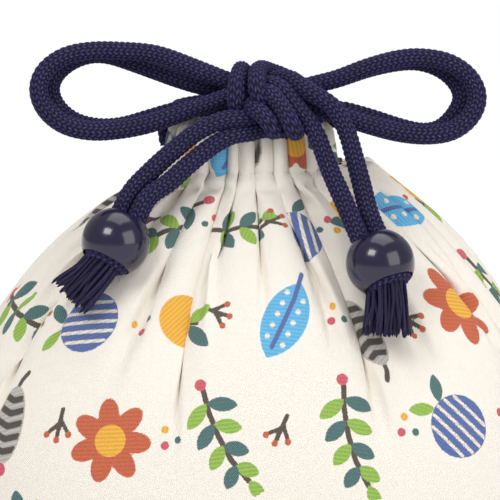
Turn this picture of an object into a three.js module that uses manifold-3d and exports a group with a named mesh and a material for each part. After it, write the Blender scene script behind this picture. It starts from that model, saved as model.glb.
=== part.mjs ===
// A drawstring pouch of printed cotton, drawn shut and tied in a doubled bow.
// Millimetres, +Z up, front towards -Y. The origin is the centre of the base, on the surface it stands on.
import * as THREE from "three";
import { mergeVertices } from "three/addons/utils/BufferGeometryUtils.js";
import Module from "manifold-3d";

const wasm = await Module();
wasm.setup();

// Driving dimensions of the cloth body
const BODY_WIDTH = 160; // across the fullest place
const BODY_DEPTH = 100;
const BASE_WIDTH = 144; // the boxed base, where the cloth turns under
const BASE_DEPTH = 84;
const BELLY_HEIGHT = 45; // where the body is fullest
const NECK_WIDTH = 45; // the gathered channel, drawn tight
const NECK_DEPTH = 30;
const CLOTH_TOP = 138; // upper edge of the channel
const CLOTH = 1.2; // wall of doubled cloth
const HEM_ROUND = 0.8; // how far the upper edge and the base's rim turn in
const BASE_SQUARENESS = 3; // 2 is an oval, and more is squarer
const NECK_SQUARENESS = 2.2;

// Gathers
const PLEATS = 14;
const PLEAT_DEPTH = 2.4; // how far a fold stands out on the shoulder
const CHANNEL_PLEAT_DEPTH = 0.9; // and on the channel, where the cord holds it flat
const PLEAT_START = 72; // height at which the folds have faded out
const PLEAT_FLATTEN = 8; // stretch below the channel in which they flatten

// Cords, beads and fits
const CORD = 5;
const GAP = 0.3; // between pieces that touch
const CHANNEL_SLACK = 2.2; // spare room across the channel
const MOUTH_SLACK = 4; // and across its open mouth at each side seam
const BEAD = 18;
const BEAD_LENGTH = 16.4;
const BORE_CLEARANCE = 0.35; // between the bead's bore and its pair of cords
const MOUTH_STEP = 1.1; // how much further out the bead's lower end is, where it hides the end knot
const BEAD_MOUTH_DEPTH = 4.6;
const BEAD_TRAVEL = 6; // room left above each bead, where its two cords run straight
const END_KNOT_LENGTH = 5.5;
const END_KNOT_TAPER = 0.8; // width of its two ends, as a share of its middle
const TASSEL_NECK = 7.2; // width where the yarns leave the end knot
const TASSEL_LENGTH = 12;
const TASSEL_SPREAD = 13; // width across the frayed tips
const KNOT_SIZE = new THREE.Vector3(34, 22, 14.4);
const KNOT_SIDE = 9.5; // how far the knot sits to the right
const KNOT_BACK = 2; // behind the front of the neck
const KNOT_RISE = 7.8; // above the channel's upper edge

// Derived sizes
const PAIR_PITCH = CORD + GAP; // centre to centre of two cords that lie side by side
const CHANNEL_DEPTH = CORD + 2 * GAP + CHANNEL_SLACK; // room for one cord across the channel
const CHANNEL_TALL = 2 * CORD + 3 * GAP; // and for two, one above the other
const CHANNEL_BAND = CHANNEL_DEPTH + 2 * CLOTH; // thickness of the whole gathered ring
const CHANNEL_TOP = CLOTH_TOP - CLOTH;
const CHANNEL_FLOOR = CHANNEL_TOP - CHANNEL_TALL;
const NECK_HEIGHT = CHANNEL_FLOOR - CLOTH; // where the shoulder meets the channel
const UPPER_CORD_Z = CHANNEL_TOP - GAP - CORD / 2;
const LOWER_CORD_Z = UPPER_CORD_Z - PAIR_PITCH;
const RING_X = NECK_WIDTH / 2 - CLOTH - CHANNEL_DEPTH / 2; // centreline of the cord in the channel
const RING_Y = NECK_DEPTH / 2 - CLOTH - CHANNEL_DEPTH / 2;
const SIDE_OPENING = 2 * PAIR_PITCH + MOUTH_SLACK; // width of the channel's mouth at each side seam
const CHANNEL_EXIT = 0.42; // where a cord turns out of the channel, in radians from the side seam
const BEAD_BORE = PAIR_PITCH + CORD + 2 * BORE_CLEARANCE; // takes two cords side by side
const BEAD_MOUTH = BEAD_BORE + 2 * MOUTH_STEP;
const MOUTH_FLOOR = BEAD_LENGTH / 2 - BEAD_MOUTH_DEPTH; // from the bead's centre down to where its mouth starts
const KNOT_CENTRE = new THREE.Vector3(KNOT_SIDE, KNOT_BACK - NECK_DEPTH / 2, CLOTH_TOP + KNOT_RISE);

// Fineness of the meshes
const RING_STEPS = PLEATS * 5;
const CORD_SIDES = 8;
const LOOP_STEPS = 12;
const TAIL_STEPS = 9;
const CHANNEL_STEPS = 20;
const ROUND_STEPS = 28;

const vec = (x, y, z) => new THREE.Vector3(x, y, z);
const smooth = THREE.MathUtils.smoothstep;

const MATERIALS = {
  cloth: new THREE.MeshStandardMaterial({ color: 0xf4ece0, roughness: 0.9, metalness: 0 }),
  cord: new THREE.MeshStandardMaterial({ color: 0x2b2840, roughness: 0.85, metalness: 0 }),
  tassel: new THREE.MeshStandardMaterial({ color: 0x221c36, roughness: 0.95, metalness: 0 }),
  bead: new THREE.MeshStandardMaterial({ color: 0x22223c, roughness: 0.18, metalness: 0 }),
};

// Half width and half depth of the body's outline at a height.
function halfSize(z) {
  const up = THREE.MathUtils.clamp((z - BELLY_HEIGHT) / (NECK_HEIGHT - BELLY_HEIGHT), 0, 1);
  const down = THREE.MathUtils.clamp((BELLY_HEIGHT - z) / BELLY_HEIGHT, 0, 1);
  const shoulder = up * up;
  const tuck = down * down;
  const side = (belly, base, neck) => (belly - (belly - base) * tuck - (belly - neck) * shoulder) / 2;
  return [side(BODY_WIDTH, BASE_WIDTH, NECK_WIDTH), side(BODY_DEPTH, BASE_DEPTH, NECK_DEPTH)];
}

// How far the folds stand out at a height.
function pleatDepth(z) {
  if (z > NECK_HEIGHT) return CHANNEL_PLEAT_DEPTH;
  const full = NECK_HEIGHT - PLEAT_FLATTEN;
  const flattened = (PLEAT_DEPTH - CHANNEL_PLEAT_DEPTH) * smooth(z, full, NECK_HEIGHT);
  return PLEAT_DEPTH * smooth(z, PLEAT_START, full) - flattened;
}

// How square the body's outline is at a height.
function squareness(z) {
  return THREE.MathUtils.lerp(BASE_SQUARENESS, NECK_SQUARENESS, THREE.MathUtils.clamp(z / NECK_HEIGHT, 0, 1));
}

// A point on a rounded oblong at the base, which turns into an oval at the neck.
function onOval(angle, halfWidth, halfDepth, z) {
  const power = 2 / squareness(z);
  const cos = Math.cos(angle);
  const sin = Math.sin(angle);
  const x = halfWidth * Math.sign(cos) * Math.abs(cos) ** power;
  return [x, halfDepth * Math.sign(sin) * Math.abs(sin) ** power];
}

// One closed outline of the body. Inset moves it inwards.
function outline(z, inset, shapeZ = z, pleated = true) {
  const [halfWidth, halfDepth] = halfSize(shapeZ);
  const points = [];
  for (let i = 0; i < RING_STEPS; i++) {
    const angle = (2 * Math.PI * i) / RING_STEPS;
    const fold = pleated ? pleatDepth(shapeZ) * (0.5 - 0.5 * Math.cos(PLEATS * angle)) : 0;
    points.push([...onOval(angle, halfWidth - inset + fold, halfDepth - inset + fold, shapeZ), z]);
  }
  return points;
}

// A closed mesh through a stack of outlines, lowest first, with flat ends.
function loft(outlines) {
  const count = outlines[0].length;
  const position = outlines.flat(2);
  const index = [];
  for (let level = 0; level + 1 < outlines.length; level++) {
    for (let i = 0; i < count; i++) {
      const a = level * count + i;
      const b = level * count + ((i + 1) % count);
      index.push(a, b, b + count, a, b + count, a + count);
    }
  }
  const top = (outlines.length - 1) * count;
  const bottomCentre = position.length / 3;
  position.push(0, 0, outlines[0][0][2]);
  position.push(0, 0, outlines.at(-1)[0][2]);
  for (let i = 0; i < count; i++) {
    const next = (i + 1) % count;
    index.push(bottomCentre, next, i, bottomCentre + 1, top + i, top + next);
  }
  const geometry = new THREE.BufferGeometry();
  geometry.setAttribute("position", new THREE.Float32BufferAttribute(position, 3));
  geometry.setIndex(index);
  return geometry;
}

// A geometry as a solid that can be cut and joined, and a solid as a geometry.
function solid(geometry) {
  const bare = geometry.clone();
  bare.deleteAttribute("normal");
  bare.deleteAttribute("uv");
  const merged = mergeVertices(bare, 1e-4);
  const vertProperties = merged.attributes.position.array;
  const triVerts = new Uint32Array(merged.index.array);
  return new wasm.Manifold(new wasm.Mesh({ numProp: 3, vertProperties, triVerts }));
}

function geometryOf(made) {
  const mesh = made.getMesh();
  const geometry = new THREE.BufferGeometry();
  geometry.setAttribute("position", new THREE.BufferAttribute(mesh.vertProperties, 3));
  geometry.setIndex(new THREE.BufferAttribute(mesh.triVerts, 1));
  geometry.computeVertexNormals();
  return geometry;
}

function box(low, high) {
  const size = high.clone().sub(low);
  const centre = low.clone().add(high).multiplyScalar(0.5);
  return solid(new THREE.BoxGeometry(size.x, size.y, size.z).translate(centre.x, centre.y, centre.z));
}

const pouch = new THREE.Group();

function addMesh(name, geometry, material) {
  const mesh = new THREE.Mesh(geometry, material);
  mesh.name = name;
  pouch.add(mesh);
  return mesh;
}

// The cloth body: outer skin, less the inside, less the channel that the cords run in.
function clothBody() {
  const between = (low, high, steps) =>
    Array.from({ length: steps }, (_, i) => low + ((high - low) * (i + 0.5)) / steps);
  const heights = [0, 2, 8, 22, BELLY_HEIGHT, ...between(BELLY_HEIGHT, PLEAT_START, 2), PLEAT_START];
  heights.push(...between(PLEAT_START, NECK_HEIGHT, 6), NECK_HEIGHT, CHANNEL_TOP, CLOTH_TOP);
  const skin = heights.map((z) => outline(z, z === 0 || z === CLOTH_TOP ? HEM_ROUND : 0));
  const inside = heights
    .filter((z) => z > CLOTH && z < NECK_HEIGHT - 2 * CLOTH)
    .map((z) => outline(z, CLOTH));
  inside.unshift(outline(CLOTH, CLOTH));
  inside.push(outline(NECK_HEIGHT - CLOTH, CHANNEL_BAND, NECK_HEIGHT, false));
  inside.push(outline(CLOTH_TOP + 1, CHANNEL_BAND, NECK_HEIGHT, false));
  const channelWall = (inset) =>
    solid(loft([CHANNEL_FLOOR, CHANNEL_TOP].map((z) => outline(z, inset, NECK_HEIGHT, false))));
  const channel = channelWall(CLOTH).subtract(channelWall(CLOTH + CHANNEL_DEPTH));
  const mouth = (side) => {
    const x = [side * (RING_X - CHANNEL_BAND / 2 - 1), side * NECK_WIDTH].sort((a, b) => a - b);
    return box(vec(x[0], -SIDE_OPENING / 2, CHANNEL_FLOOR), vec(x[1], SIDE_OPENING / 2, CLOTH_TOP + 1));
  };
  let body = solid(loft(skin)).subtract(solid(loft(inside))).subtract(channel);
  for (const side of [-1, 1]) body = body.subtract(mouth(side));
  return body;
}

// The front and the back are cut apart along the side seams and the middle of the base.
function addPanels() {
  const body = clothBody();
  const reach = BODY_WIDTH;
  const low = vec(-reach, -reach, -1);
  const high = vec(reach, reach, CLOTH_TOP + 1);
  const front = body.intersect(box(low, vec(high.x, -GAP / 2, high.z)));
  const back = body.intersect(box(vec(low.x, GAP / 2, low.z), high));
  addMesh("front_panel", geometryOf(front), MATERIALS.cloth);
  addMesh("back_panel", geometryOf(back), MATERIALS.cloth);
}

// The bow's knot, grown by a clearance where something has to stop short of it.
function knotGeometry(clearance) {
  const half = KNOT_SIZE.clone().multiplyScalar(0.5).addScalar(clearance);
  const geometry = new THREE.SphereGeometry(1, ROUND_STEPS, ROUND_STEPS / 2);
  geometry.scale(half.x, half.y, half.z);
  geometry.translate(KNOT_CENTRE.x, KNOT_CENTRE.y, KNOT_CENTRE.z);
  return geometry;
}

const knotRoom = solid(knotGeometry(GAP));

// A round cord along a route, cut back to the knot where it enters it.
function addCord(name, points, steps) {
  const section = new THREE.Shape();
  for (let i = 0; i < CORD_SIDES; i++) {
    const angle = (2 * Math.PI * (i + 0.5)) / CORD_SIDES;
    const x = (Math.cos(angle) * CORD) / 2;
    const y = (Math.sin(angle) * CORD) / 2;
    if (i === 0) section.moveTo(x, y);
    else section.lineTo(x, y);
  }
  const extrudePath = new THREE.CatmullRomCurve3(points, false, "centripetal");
  const tube = new THREE.ExtrudeGeometry(section, { steps, extrudePath, bevelEnabled: false });
  addMesh(name, geometryOf(solid(tube).subtract(knotRoom)), MATERIALS.cord);
}

// Each cord runs once round the channel and comes out again at the same side.
function channelRun(side, z) {
  const points = [];
  const stops = 12;
  for (let i = 0; i <= stops; i++) {
    const angle = Math.PI + CHANNEL_EXIT + ((2 * Math.PI - 2 * CHANNEL_EXIT) * i) / stops;
    const [x, y] = onOval(angle, RING_X, RING_Y, NECK_HEIGHT);
    points.push(vec(-side * x, y, z));
  }
  return points;
}

const LEFT_FRONT_LEAD = [
  vec(7, -9, 143.5),
  vec(0, -5, 141.8),
  vec(-8, -3.7, 141.3),
  vec(-14.5, -3.3, 140.9),
  vec(-20.3, -3, 139.4),
  vec(-23.1, -3.2, 135),
  vec(-21.7, -3.7, 130.5),
];
const LEFT_BACK_LEAD = [
  vec(-21.7, 3.7, 130.5),
  vec(-23, 3.3, 135.2),
  vec(-20.5, 3, 139),
  vec(-13.5, 2.4, 140.1),
  vec(-8, 2, 141.5),
  vec(-1, 0.2, 143.4),
  vec(7, -8, 146),
];
const RIGHT_FRONT_LEAD = [
  vec(11, -9, 142.5),
  vec(15.5, -3.6, 142.2),
  vec(18.4, -2.6, 141.2),
  vec(21.3, -2.8, 138.4),
  vec(20.9, -3.6, 135.3),
];
const RIGHT_BACK_LEAD = [
  vec(20.9, 3.8, 135.3),
  vec(21.2, 3.6, 138.2),
  vec(18.2, 3.6, 141.3),
  vec(14.5, 2.9, 143.3),
  vec(10.5, -1.5, 146.4),
  vec(8, -8, 148),
];

// The two strands of each half of the bow, from the knot out and back to it.
const LEFT_FRONT_LOOP = [
  vec(1, -14.5, 148),
  vec(-7.4, -13.5, 149.6),
  vec(-14.5, -11.5, 152),
  vec(-25, -9.5, 155.4),
  vec(-34.2, -9, 156.1),
  vec(-41.1, -9, 156.2),
  vec(-48.8, -9.5, 154.8),
  vec(-54.3, -10.5, 150.8),
  vec(-55.8, -12, 146.5),
  vec(-54.1, -13.5, 141.7),
  vec(-49.2, -15, 137.6),
  vec(-42.1, -16, 135.9),
  vec(-34.2, -16.5, 136.4),
  vec(-26.3, -17, 138),
  vec(-15.8, -16.8, 141.6),
  vec(-7.4, -16, 144),
  vec(1, -15.4, 144),
];
const LEFT_BACK_LOOP = [
  vec(1, -9, 146),
  vec(-8.2, -8, 145.4),
  vec(-14, -6.5, 146.7),
  vec(-18.2, -5.5, 147.8),
  vec(-24.9, -4, 150),
  vec(-31.6, -3, 152.3),
  vec(-37, -2.5, 154),
  vec(-41.5, -2.4, 154.3),
  vec(-46.8, -3, 152.7),
  vec(-51.3, -4, 149.1),
  vec(-52.8, -5.5, 145.4),
  vec(-51.3, -7, 141.1),
  vec(-46.8, -8.5, 137.3),
  vec(-40.5, -9.6, 135.7),
  vec(-34.2, -10.2, 136),
  vec(-26.3, -10.8, 138.4),
  vec(-20.5, -10.9, 140.2),
  vec(-15.8, -11, 141.1),
  vec(-7.4, -11, 141.4),
  vec(1, -11, 142),
];
const RIGHT_FRONT_LOOP = [
  vec(6, -14, 146.5),
  vec(13.2, -13.8, 147),
  vec(21.1, -12, 148.5),
  vec(31.6, -10.3, 152.2),
  vec(39.5, -9.3, 154.1),
  vec(45.3, -9, 154.4),
  vec(53, -9, 152.8),
  vec(58.3, -9.5, 148.7),
  vec(60, -10.5, 144.1),
  vec(58.3, -12, 139.4),
  vec(53.5, -13.5, 135.6),
  vec(47.4, -14.5, 134.6),
  vec(39.5, -15.3, 135.3),
  vec(31.6, -16.2, 137.4),
  vec(21.1, -16.6, 140.8),
  vec(13.2, -15.5, 143),
  vec(6, -14, 143.5),
];
const RIGHT_BACK_LOOP = [
  vec(6, -9, 146.5),
  vec(13.2, -8, 146.4),
  vec(21.1, -6.2, 147.6),
  vec(31.6, -4.2, 150.8),
  vec(39.5, -3.2, 152.3),
  vec(44.2, -2.8, 152.4),
  vec(50, -2.8, 150.6),
  vec(54.5, -3.3, 146.9),
  vec(56.2, -4.3, 143),
  vec(54.5, -5.8, 139),
  vec(50.3, -7.3, 134.9),
  vec(45.8, -8.4, 134.1),
  vec(39.5, -9.2, 135.6),
  vec(31.6, -10, 138.4),
  vec(21.1, -10.8, 141.2),
  vec(13.2, -10.5, 142),
  vec(6, -12, 143),
];

// The free ends, from the knot down to where they enter their bead.
const LEFT_UPPER_TAIL = [
  vec(3.5, -17.6, 144.4),
  vec(-2.8, -21.4, 142.4),
  vec(-9.5, -21.8, 139.8),
  vec(-14.9, -22, 137.1),
  vec(-19.2, -22.5, 133.8),
  vec(-22.8, -23.2, 130.9),
  vec(-26.4, -24.3, 127.3),
];
const LEFT_LOWER_TAIL = [
  vec(8, -15.5, 141),
  vec(0.2, -21, 137.4),
  vec(-4.3, -22.4, 135.8),
  vec(-9.5, -23.5, 133.4),
  vec(-13.4, -24.6, 130.6),
  vec(-17.3, -25.8, 127.4),
  vec(-20.9, -27.3, 124.2),
];
const RIGHT_UPPER_TAIL = [
  vec(6.6, -16, 148),
  vec(13.8, -21.6, 147.6),
  vec(20.8, -22.6, 144.5),
  vec(22.9, -22.8, 141.8),
  vec(25.5, -23.5, 136.5),
  vec(27.1, -24.6, 131),
  vec(28.4, -26, 126.3),
  vec(29.7, -28, 121.5),
];
const RIGHT_LOWER_TAIL = [
  vec(10, -16, 143.5),
  vec(15, -21.6, 142.4),
  vec(17.2, -23.5, 136.6),
  vec(19, -24.8, 132.1),
  vec(21.1, -27, 126.7),
  vec(23.5, -29.5, 121.8),
];

// Where a bead comes to rest against the front of the shoulder, at a place across and below the channel.
function againstShoulder(x, drop, clearance) {
  const z = NECK_HEIGHT - drop;
  const reach = BEAD / 2 + clearance;
  const contacts = [];
  for (let height = z - reach; height < z + reach; height++) {
    for (const [skinX, skinY] of outline(height, 0)) {
      const room = reach ** 2 - (skinX - x) ** 2 - (height - z) ** 2;
      if (room > 0) contacts.push(skinY - Math.sqrt(room));
    }
  }
  return vec(x, Math.min(...contacts), z);
}

// Each pair of free ends carries a bead, which lies against the front of the shoulder.
const BEADS = {
  left: {
    centre: againstShoulder(-35, 15.2, 1.45), // across, below the channel, clear of the cloth
    up: vec(0.43, 0.39, 0.815).normalize(),
    apart: vec(-0.833, 0.52, 0.19).normalize(),
    tassel: vec(-0.55, 0.05, -0.83).normalize(),
    tails: { left_upper_tail: LEFT_UPPER_TAIL, left_lower_tail: LEFT_LOWER_TAIL },
  },
  right: {
    centre: againstShoulder(33.9, 20.1, 0.66),
    up: vec(-0.37, 0.44, 0.818).normalize(),
    apart: vec(0.889, 0.428, 0.172).normalize(),
    tassel: vec(0.05, -0.22, -0.97).normalize(),
    tails: { right_upper_tail: RIGHT_UPPER_TAIL, right_lower_tail: RIGHT_LOWER_TAIL },
  },
};

// A turned shape stands along a direction, with its middle or foot at a place.
function standAlong(geometry, direction, place) {
  geometry.rotateX(Math.PI / 2);
  geometry.applyQuaternion(new THREE.Quaternion().setFromUnitVectors(vec(0, 0, 1), direction));
  return geometry.translate(place.x, place.y, place.z);
}

function addBead(side) {
  const { centre, up } = BEADS[side];
  const half = BEAD_LENGTH / 2;
  const bore = BEAD_BORE / 2;
  const mouth = BEAD_MOUTH / 2;
  const radiusAt = (z) => Math.sqrt((BEAD / 2) ** 2 - z * z);
  const topZ = Math.sqrt((BEAD / 2) ** 2 - bore * bore);
  const topEdge = Math.min(half, topZ);
  const mouthZ = -Math.min(half, Math.sqrt((BEAD / 2) ** 2 - mouth * mouth));
  const profile = [new THREE.Vector2(bore, topEdge), new THREE.Vector2(bore, -MOUTH_FLOOR)];
  profile.push(new THREE.Vector2(mouth, -MOUTH_FLOOR), new THREE.Vector2(mouth, mouthZ));
  const arcs = 12;
  for (let i = 1; i < arcs; i++) {
    const z = mouthZ + ((topEdge - mouthZ) * i) / arcs;
    profile.push(new THREE.Vector2(radiusAt(z), z));
  }
  profile.push(profile[0].clone());
  const turned = standAlong(new THREE.LatheGeometry(profile, ROUND_STEPS), up, centre);
  addMesh(side + "_bead", geometryOf(solid(turned)), MATERIALS.bead);
}

// The end knot sits in the bead's mouth, and the frayed ends flare below it.
function addTassel(side) {
  const { centre, up, tassel } = BEADS[side];
  const knob = BEAD_MOUTH / 2 - GAP;
  const knobTop = -MOUTH_FLOOR - GAP;
  const place = centre.clone().addScaledVector(up, knobTop - END_KNOT_LENGTH);
  const round = [
    [0, 0],
    [knob * END_KNOT_TAPER, 0],
    [knob, END_KNOT_LENGTH / 4],
    [knob, (3 * END_KNOT_LENGTH) / 4],
    [knob * END_KNOT_TAPER, END_KNOT_LENGTH],
    [0, END_KNOT_LENGTH],
  ];
  const skirt = [
    [0, -TASSEL_LENGTH],
    [TASSEL_SPREAD / 2, -TASSEL_LENGTH],
    [(TASSEL_SPREAD + TASSEL_NECK) / 4, -TASSEL_LENGTH / 2],
    [TASSEL_NECK / 2, -1],
    [TASSEL_NECK / 2, END_KNOT_LENGTH / 2],
    [0, END_KNOT_LENGTH / 2],
  ];
  const turned = (rows, direction) => {
    const profile = rows.map(([r, z]) => new THREE.Vector2(r, z));
    return solid(standAlong(new THREE.LatheGeometry(profile, ROUND_STEPS / 2), direction, place));
  };
  const made = turned(round, up).add(turned(skirt, tassel.clone().negate()));
  addMesh(side + "_tassel", geometryOf(made), MATERIALS.tassel);
}

function addTails(side) {
  const { centre, up, apart, tails } = BEADS[side];
  const straightTop = BEAD_LENGTH / 2 + BEAD_TRAVEL;
  Object.entries(tails).forEach(([name, points], i) => {
    const offset = (i === 0 ? 1 : -1) * (PAIR_PITCH / 2);
    const axisPoint = (along) => centre.clone().addScaledVector(up, along).addScaledVector(apart, offset);
    const straight = [straightTop, straightTop / 2, 0, -MOUTH_FLOOR].map(axisPoint);
    addCord(name, [...points, ...straight], TAIL_STEPS);
  });
}

addPanels();
addMesh("bow_knot", knotGeometry(0), MATERIALS.cord);
const leftRun = [...LEFT_FRONT_LEAD, ...channelRun(-1, LOWER_CORD_Z), ...LEFT_BACK_LEAD];
const rightRun = [...RIGHT_FRONT_LEAD, ...channelRun(1, UPPER_CORD_Z), ...RIGHT_BACK_LEAD];
addCord("left_cord_in_channel", leftRun, CHANNEL_STEPS);
addCord("right_cord_in_channel", rightRun, CHANNEL_STEPS);
addCord("left_front_loop", LEFT_FRONT_LOOP, LOOP_STEPS);
addCord("left_back_loop", LEFT_BACK_LOOP, LOOP_STEPS);
addCord("right_front_loop", RIGHT_FRONT_LOOP, LOOP_STEPS);
addCord("right_back_loop", RIGHT_BACK_LOOP, LOOP_STEPS);
for (const side of ["left", "right"]) {
  addTails(side);
  addBead(side);
  addTassel(side);
}

export default pouch;
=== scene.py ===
"""A printed cotton drawstring pouch, tied in a doubled bow: its looks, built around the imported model.

Metres, +Z up, front towards -Y, as in the model.
"""

import math

import bpy
import numpy as np
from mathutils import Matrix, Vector
from numpy.linalg import norm


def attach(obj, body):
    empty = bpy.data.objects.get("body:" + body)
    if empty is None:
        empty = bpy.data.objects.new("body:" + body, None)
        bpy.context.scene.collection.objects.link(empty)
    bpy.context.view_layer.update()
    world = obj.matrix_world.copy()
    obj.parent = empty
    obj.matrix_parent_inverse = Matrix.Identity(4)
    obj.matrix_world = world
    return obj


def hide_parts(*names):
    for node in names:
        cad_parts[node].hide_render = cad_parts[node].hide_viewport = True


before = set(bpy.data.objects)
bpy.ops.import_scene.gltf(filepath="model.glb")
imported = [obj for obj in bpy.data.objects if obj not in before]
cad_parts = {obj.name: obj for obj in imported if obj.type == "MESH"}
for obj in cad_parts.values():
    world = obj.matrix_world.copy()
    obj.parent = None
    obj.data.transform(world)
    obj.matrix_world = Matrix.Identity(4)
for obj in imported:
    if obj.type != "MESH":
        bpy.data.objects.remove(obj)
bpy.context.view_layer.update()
scene = bpy.context.scene

# Cord
CORD = 0.005
GAP = 0.0003
PAIR_PITCH = CORD + GAP

# Beads
BEAD = 0.018
BEAD_LENGTH = 0.0164
BEAD_TRAVEL = 0.006
BEAD_MOUTH_DEPTH = 0.0046
MOUTH_FLOOR = BEAD_LENGTH / 2 - BEAD_MOUTH_DEPTH
BORE_CLEARANCE = 0.00035
MOUTH_STEP = 0.0011
BEAD_BORE = PAIR_PITCH + CORD + 2 * BORE_CLEARANCE
BEAD_MOUTH = BEAD_BORE + 2 * MOUTH_STEP


def rgba(*colour):
    """An sRGB colour as the linear one, with full cover, that a shader takes."""
    return (*(c / 12.92 if c <= 0.04045 else ((c + 0.055) / 1.055) ** 2.4 for c in colour), 1.0)


# Each strand's bead, which side of the bead's middle it runs, the nodes it stands for, and its route from
# where it leaves the channel to where it enters its bead, in tenths of a millimetre. Its loop and its
# tail follow the model's, and the points between them lie in the knot.
STRANDS = {
    "left_cord_front": ("left", 1, ("right_front_loop", "left_upper_tail", "bow_knot"), """
    -212 -36 1305, -219 -31 1348, -198 -30 1389, -145 -33 1409, -80 -37 1413, 0 -40 1418, 60 -32 1422,
    108 -22 1428, 130 -14 1452, 108 -16 1482, 65 -32 1498, 18 -115 1499, 21 -172 1490, 24 -203 1461,
    28 -198 1430, 55 -155 1410, 95 -135 1435, 132 -138 1470, 211 -120 1485, 316 -103 1522, 395 -93 1541,
    453 -90 1544, 530 -90 1528, 583 -95 1487, 600 -105 1441, 583 -120 1394, 535 -135 1356, 474 -145 1346,
    395 -153 1353, 316 -162 1374, 211 -166 1408, 145 -152 1428, 90 -132 1422, 45 -155 1420, 5 -192 1432,
    -28 -214 1424, -92 -226 1392, -144 -231 1365, -186 -238 1331, -222 -246 1302, -259 -255 1268
    """),
    "left_cord_back": ("left", -1, ("right_back_loop", "left_lower_tail"), """
    -212 37 1305, -218 33 1349, -199 30 1386, -135 24 1401, -80 20 1415, -20 15 1435, 22 2 1455,
    16 -12 1480, -12 -55 1496, -29 -115 1499, -28 -172 1490, -26 -203 1461, -22 -198 1428, 12 -155 1405,
    60 -105 1405, 105 -85 1435, 132 -80 1464, 211 -62 1476, 316 -42 1508, 395 -32 1523, 442 -28 1524,
    500 -28 1506, 545 -33 1469, 562 -43 1430, 545 -58 1390, 503 -73 1349, 458 -84 1341, 395 -92 1356,
    316 -100 1384, 211 -108 1412, 145 -112 1405, 95 -135 1385, 50 -172 1398, 2 -206 1388, -43 -224 1363,
    -95 -235 1334, -134 -246 1306, -173 -258 1274, -209 -273 1242
    """),
    "right_cord_front": ("right", -1, ("left_front_loop", "right_lower_tail"), """
    209 -36 1353, 213 -28 1384, 184 -26 1412, 155 -36 1422, 137 -85 1420, 130 -145 1412, 128 -190 1389,
    125 -220 1366, 120 -252 1364, 112 -274 1388, 98 -268 1420, 72 -228 1449, 30 -180 1460, -22 -160 1450,
    -74 -160 1440, -158 -168 1416, -263 -170 1380, -342 -165 1364, -421 -160 1359, -492 -150 1376,
    -541 -135 1417, -558 -120 1465, -543 -105 1508, -488 -95 1548, -411 -90 1562, -342 -90 1561,
    -250 -95 1554, -145 -115 1520, -74 -135 1496, 10 -148 1484, 68 -180 1478, 108 -215 1448, 140 -222 1405,
    172 -235 1366, 190 -248 1321, 211 -270 1267, 235 -295 1218
    """),
    "right_cord_back": ("right", 1, ("left_back_loop", "right_upper_tail"), """
    209 38 1353, 212 36 1382, 182 36 1413, 145 29 1433, 104 8 1434, 80 -60 1420, 77 -125 1412,
    75 -182 1390, 73 -213 1366, 68 -246 1362, 58 -272 1386, 44 -264 1418, 22 -218 1436, -10 -164 1428,
    -35 -128 1420, -74 -108 1414, -158 -110 1411, -205 -109 1402, -263 -108 1384, -342 -102 1360,
    -405 -96 1357, -468 -85 1373, -513 -70 1411, -528 -55 1454, -513 -40 1491, -468 -30 1527,
    -415 -24 1543, -370 -25 1540, -316 -30 1523, -249 -40 1500, -182 -55 1478, -82 -80 1456, 10 -92 1475,
    60 -125 1492, 105 -175 1492, 145 -213 1474, 208 -226 1445, 229 -228 1418, 255 -235 1365, 271 -246 1310,
    284 -260 1263, 297 -280 1215
    """),
}

# Where each bead sits, and the ways its cords run up through it, lie side by side and end in a tassel
BEADS = {
    "left": {
        "centre": (-0.035, -0.0341, 0.1095), "up": (0.43, 0.39, 0.815),
        "apart": (-0.833, 0.52, 0.19), "tassel": (-0.72, -0.02, -0.69),
    },
    "right": {
        "centre": (0.0339, -0.0381, 0.1046), "up": (-0.37, 0.44, 0.818),
        "apart": (0.889, 0.428, 0.172), "tassel": (-0.1, -0.2, -0.97),
    },
}
TENTHS_IN_A_METRE = 10000
STRETCH_STEPS = 16


def unit(v):
    """Vectors made one long."""
    v = np.asarray(v, float)
    return v / norm(v, axis=-1, keepdims=True)


def run_along(line):
    """How far along a line each of its points is."""
    return np.r_[0, np.cumsum(norm(np.diff(line, axis=0), axis=1))]


def round_turn(count):
    """Angles once round, evenly spaced."""
    return np.arange(count) / count * 2 * np.pi


def ways_across(up):
    """Two directions across another one."""
    across = unit(np.cross(up, (0, 1.0, 0)))
    return across, np.cross(up, across)


def route_of(name):
    """A strand's points in metres."""
    points = STRANDS[name][3].split(",")
    return [tuple(int(value) / TENTHS_IN_A_METRE for value in point.split()) for point in points]


def bead_axis_points(side, sign, heights):
    """Points along one of the two cords that run through a bead, at heights above its centre."""
    bead = BEADS[side]
    centre = np.array(bead["centre"]) + sign * PAIR_PITCH / 2 * unit(bead["apart"])
    return [centre + h * unit(bead["up"]) for h in heights]


def smooth_route(points, spacing):
    """Evenly spaced points on a smooth curve through the given ones."""
    p = np.asarray(points, float)
    p = np.vstack([2 * p[0] - p[1], p, 2 * p[-1] - p[-2]])
    curve = []
    for a, b, c, d in zip(p, p[1:], p[2:], p[3:]):
        knots = np.cumsum([0] + [norm(q - r) ** 0.5 for q, r in ((b, a), (c, b), (d, c))])
        t = np.linspace(knots[1], knots[2], STRETCH_STEPS, endpoint=False)[:, None]

        def step(u, v, i, j):
            return ((knots[j] - t) * u + (t - knots[i]) * v) / (knots[j] - knots[i])

        ab, bc, cd = step(a, b, 0, 1), step(b, c, 1, 2), step(c, d, 2, 3)
        curve.append(step(step(ab, bc, 0, 2), step(bc, cd, 1, 3), 1, 2))
    curve.append(p[-2][None])
    return respace(np.vstack(curve), spacing)


def respace(curve, spacing):
    """The same curve with its points an even distance apart."""
    along = run_along(curve)
    stops = np.linspace(0, along[-1], int(round(along[-1] / spacing)) + 1)
    return np.stack([np.interp(stops, along, curve[:, k]) for k in range(3)], 1)


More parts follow.
